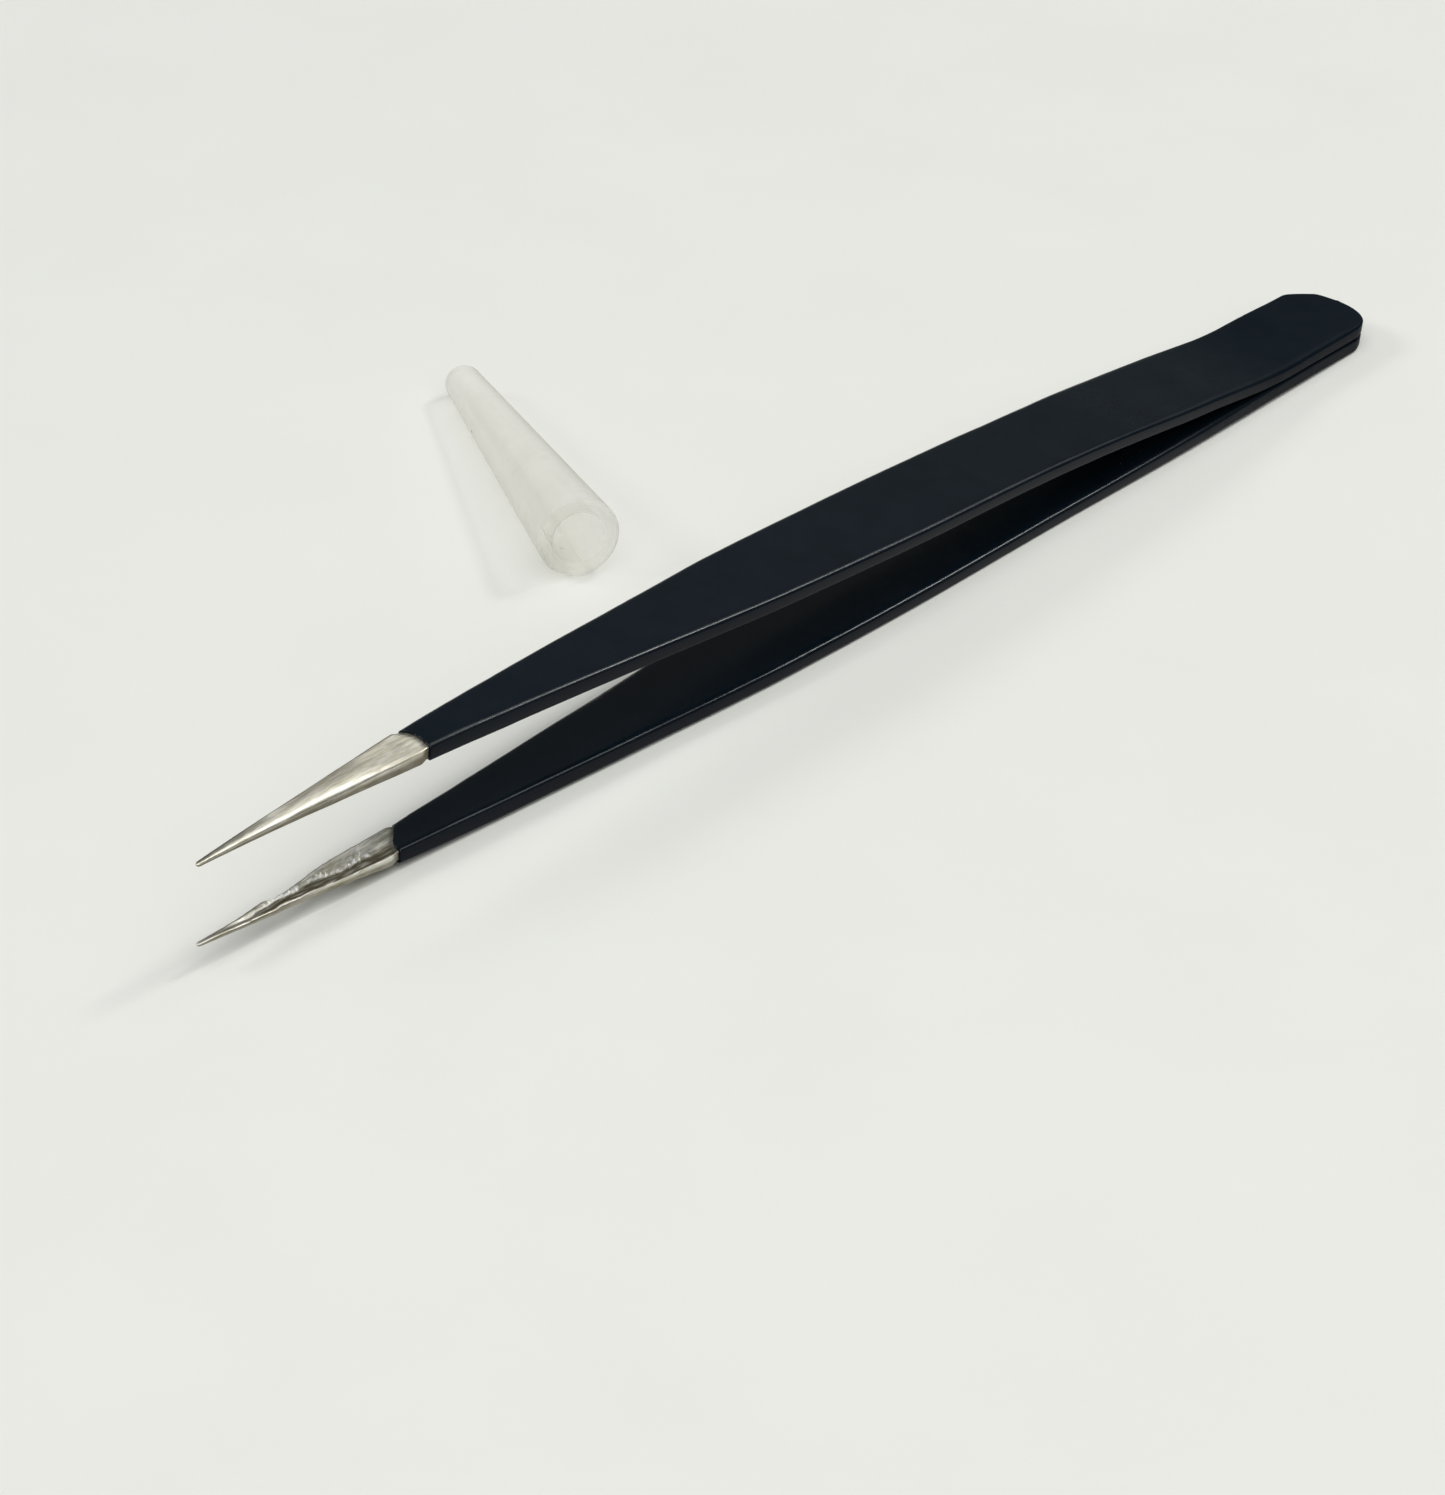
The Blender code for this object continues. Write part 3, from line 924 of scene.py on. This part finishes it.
def make_point(shape, look):
    """Steel of one leg from the split to the tip, bare beyond the coat."""
    stations = steps(SPLIT_STATION + SPLIT_GAP, shape.coat_end - 4.0, 6.0)
    stations += steps(shape.coat_end - 4.0, LENGTH - TIP_ROUND, POINT_PITCH)[1:]
    stations += [LENGTH - TIP_ROUND * (1.0 - u) for u in (0.25, 0.45, 0.62, 0.76, 0.87, 0.95)]
    rings = []
    marks = {"wear_and_shade": [], "polish": [], "painted_glint": []}
    makers = {"wear_and_shade": shape.worn_and_shaded, "polish": shape.polished, "painted_glint": shape.bright}
    for station in stations:
        far = (Vector((station, shape.outline(station, 1.0))), Vector((0.0, 1.0)))
        near = (Vector((station, -shape.outline(station, -1.0))), Vector((0.0, -1.0)))
        low, high = leg_faces(shape.side, station)
        ring = section(
            far, near, lambda s: leg_faces(shape.side, s), shape.radii, shape.inset, POINT_ACROSS
        )
        shares = [(point.z - low) / (high - low) for point in ring]
        for name, maker in makers.items():
            marks[name].append([maker(station, p.y, share) for p, share in zip(ring, shares)])
        shrink = 1.0
        if station > LENGTH - TIP_ROUND:
            u = (station - LENGTH + TIP_ROUND) / TIP_ROUND
            shrink = math.sqrt(max(1.0 - u * u, 0.01))
        centre = Vector((station, 0.0, (low + high) / 2.0))
        for i, (point, share) in enumerate(zip(ring, shares)):
            point.z -= shape.cut(station, point.y) * share
            ring[i] = centre + (point - centre) * shrink
        rings.append(ring)
    bm = bmesh.new()
    skin(bm, rings, closed_start=True, closed_end=True, marks=marks)
    return finish_mesh(shape.side + "_point", bm, look, 32.0)


def make_plate(side, look):
    """Welded rear end of a leg, wholly inside the coat."""
    rows = outline_rows(steps(NOSE_END, SPLIT_STATION - SPLIT_GAP, 0.7))

    def faces(station):
        return leg_faces(side, station)

    def radii(station):
        return ((CORE_CORNER, CORE_CORNER),) * 4

    def inset(point):
        return CORE_INSET

    bm = bmesh.new()
    rings = [section(far, near, faces, radii, inset) for far, near in rows]
    skin(bm, rings[2:], closed_start=True, closed_end=True)
    return finish_mesh(side + "_plate", bm, look, 32.0)


# ---------------------------------------------------------------- cap


def cap_profile():
    """Half section of the cap from the closed end, outside and then bore: (along, radius)."""
    outside = []
    for k in range(1, 13):
        turn = math.radians(90.0 * k / 12.0)
        outside.append((CAP_END_RADIUS * (1.0 - math.cos(turn)), CAP_END_RADIUS * math.sin(turn)))
    for k in range(1, 31):
        along = CAP_END_RADIUS + (CAP_LENGTH - CAP_END_RADIUS - CAP_RIM_RADIUS) * k / 30.0
        outside.append((along, CAP_END_RADIUS + (along - CAP_END_RADIUS) * CAP_LEAN))
    rim = outside[-1][1]
    for k in range(1, 7):
        turn = math.radians(15.0 * k)
        along = CAP_LENGTH - CAP_RIM_RADIUS * (1.0 - math.sin(turn))
        outside.append((along, rim - CAP_RIM_RADIUS * (1.0 - math.cos(turn))))
    bore = []
    for k in range(0, CAP_BORE_RIM_STEPS):
        turn = math.radians(90.0 * k / (CAP_BORE_RIM_STEPS - 1))
        along = CAP_LENGTH - CAP_BORE_RIM_RADIUS * (1.0 - math.cos(turn))
        bore.append((along, CAP_BORE_RADIUS + CAP_BORE_RIM_RADIUS * (1.0 - math.sin(turn))))
    straight = CAP_BORE_DEPTH - CAP_BORE_RIM_RADIUS - CAP_BORE_END_RADIUS
    for k in range(1, 21):
        share = k / 20.0
        along = CAP_LENGTH - CAP_BORE_RIM_RADIUS - straight * share
        bore.append((along, mix(CAP_BORE_RADIUS, CAP_BORE_END_RADIUS, share)))
    for k in range(1, 6):
        turn = math.radians(17.0 * k)
        along = CAP_LENGTH - CAP_BORE_DEPTH + CAP_BORE_END_RADIUS * (1.0 - math.sin(turn))
        bore.append((along, CAP_BORE_END_RADIUS * math.cos(turn)))
    return outside, bore


def make_cap():
    """Cap turned round its axis, then laid on the table on its side."""
    outside, bore = cap_profile()
    bore_row = len(outside) + CAP_BORE_RIM_STEPS - 2
    bm = bmesh.new()
    rings = []
    for along, radius in outside + bore:
        ring = []
        for i in range(CAP_SIDES):
            turn = 2.0 * math.pi * i / CAP_SIDES
            uneven = 1.0 + 0.006 * wave(along * 0.12, math.cos(turn), math.sin(turn) + 9.0)
            out = radius * uneven
            ring.append(Vector((along, out * math.cos(turn), out * math.sin(turn))) * MM)
        rings.append(ring)
    made = [[bm.verts.new(p) for p in ring] for ring in rings]
    for row, (a, b) in enumerate(zip(made, made[1:])):
        for i in range(CAP_SIDES):
            j = (i + 1) % CAP_SIDES
            face = bm.faces.new((a[i], a[j], b[j], b[i]))
            face.material_index = int(row > bore_row)
    for ring, along in ((made[0], 0.0), (made[-1], CAP_LENGTH - CAP_BORE_DEPTH)):
        pole = bm.verts.new(Vector((along, 0.0, 0.0)) * MM)
        for i in range(CAP_SIDES):
            bm.faces.new((ring[i], ring[(i + 1) % CAP_SIDES], pole))
    lean = Matrix.Rotation(-math.atan(CAP_LEAN), 4, "Y")
    turn = Matrix.Rotation(math.radians(CAP_HEADING), 4, "Z") @ lean
    bmesh.ops.translate(bm, verts=bm.verts, vec=(-CAP_LENGTH * MM, 0.0, 0.0))
    bmesh.ops.transform(bm, matrix=turn, verts=bm.verts)
    low = min(v.co.z for v in bm.verts)
    shift = Vector((CAP_MOUTH_XY[0] * MM, CAP_MOUTH_XY[1] * MM, -low))
    bmesh.ops.translate(bm, verts=bm.verts, vec=shift)
    cap = finish_mesh("tip_cap_moulding", bm, cap_look, 60.0)
    cap.data.materials.append(bore_look)
    return cap


# ---------------------------------------------------------------- the pieces on the frame

for shape, look in (
    (UpperPoint(UPPER_COAT_END), upper_steel_look),
    (LowerPoint(LOWER_COAT_END), lower_steel_look),
):
    side = shape.side
    body = side + "_leg"
    coat = make_coat(side, shape.end_knots)
    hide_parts(side + "_leg_coating", "heel_coating")
    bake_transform(coat)
    point = make_point(shape, look)
    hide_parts(side + "_leg")
    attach(point, body)

cap = make_cap()
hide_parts("tip_cap")
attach(cap, "tip_cap")

for side in ("upper", "lower"):
    plate = make_plate(side, upper_steel_look)
    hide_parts(side + "_heel")
    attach(plate, "heel")
for name in ("weld_nugget_rear", "weld_nugget_front"):
    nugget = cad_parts[name]
    nugget.data.materials.clear()
    nugget.data.materials.append(weld_look)


# ---------------------------------------------------------------- stage


def make_floor():
    """Pale table, a hair below zero so that nothing lies in its plane."""
    bm = bmesh.new()
    bmesh.ops.create_grid(bm, x_segments=8, y_segments=8, size=3.0)
    mesh = bpy.data.meshes.new("table_top")
    bm.to_mesh(mesh)
    bm.free()
    mesh.materials.append(floor_material())
    floor = bpy.data.objects.new("table_top", mesh)
    floor.location.z = -0.00002
    bpy.context.scene.collection.objects.link(floor)


def make_light(name, toward, distance, size, power, colour):
    """Square soft light, aimed at the middle of the tool."""
    light = bpy.data.lights.new(name, "AREA")
    light.shape = "SQUARE"
    light.size = size
    light.energy = power
    light.color = colour
    obj = bpy.data.objects.new(name, light)
    aim = Vector((-0.020, 0.005, 0.0))
    direction = Vector(toward).normalized()
    obj.location = aim + direction * distance
    obj.rotation_euler = direction.to_track_quat("Z", "Y").to_euler()
    bpy.context.scene.collection.objects.link(obj)


def make_world():
    """Dim, even light from the room."""
    world = bpy.data.worlds.new("soft_room")
    world.use_nodes = True
    background = world.node_tree.nodes["Background"]
    background.inputs["Color"].default_value = (0.97, 1.0, 1.0, 1.0)
    background.inputs["Strength"].default_value = 0.11
    bpy.context.scene.world = world


def make_camera():
    """The photo's view of the tool at rest."""
    azimuth = math.radians(CAMERA_AZIMUTH)
    elevation = math.radians(CAMERA_ELEVATION)
    roll = math.radians(CAMERA_ROLL)
    flat = math.cos(elevation)
    back = Vector((math.sin(azimuth) * flat, -math.cos(azimuth) * flat, math.sin(elevation)))
    level = Vector((math.cos(azimuth), math.sin(azimuth), 0.0))
    lift = back.cross(level)
    right = level * math.cos(roll) + lift * math.sin(roll)
    up = lift * math.cos(roll) - level * math.sin(roll)
    camera = bpy.data.cameras.new("camera")
    camera.lens = CAMERA_LENS
    camera.sensor_width = 36.0
    camera.sensor_fit = "AUTO"
    camera.clip_start = 0.01
    obj = bpy.data.objects.new("camera", camera)
    turn = Matrix((right, up, back)).transposed().to_4x4()
    place = (Vector(CAMERA_TARGET) + back * CAMERA_DISTANCE) * MM
    obj.matrix_world = Matrix.Translation(place) @ turn
    bpy.context.scene.collection.objects.link(obj)
    bpy.context.scene.camera = obj


make_floor()
for name, toward, distance, size, power, colour in (
    ("front_softbox", (-0.34, -0.34, 1.0), 1.15, 1.5, 11.95, (1.0, 0.997, 0.985)),
    ("right_softbox", (0.64, -0.10, 0.76), 1.2, 0.68, 1.85, (1.0, 0.997, 0.985)),
    ("rear_left_lamp", (-1.118, 1.248, 1.0), 1.2, 0.28, 2.8, (1.0, 1.0, 1.0)),
    ("right_lamp", (0.93, -0.15, 1.0), 1.2, 0.17, 2.7, (1.0, 0.99, 0.97)),
):
    make_light(name, toward, distance, size, power, colour)
make_world()
make_camera()
bpy.context.scene.view_settings.view_transform = "Standard"
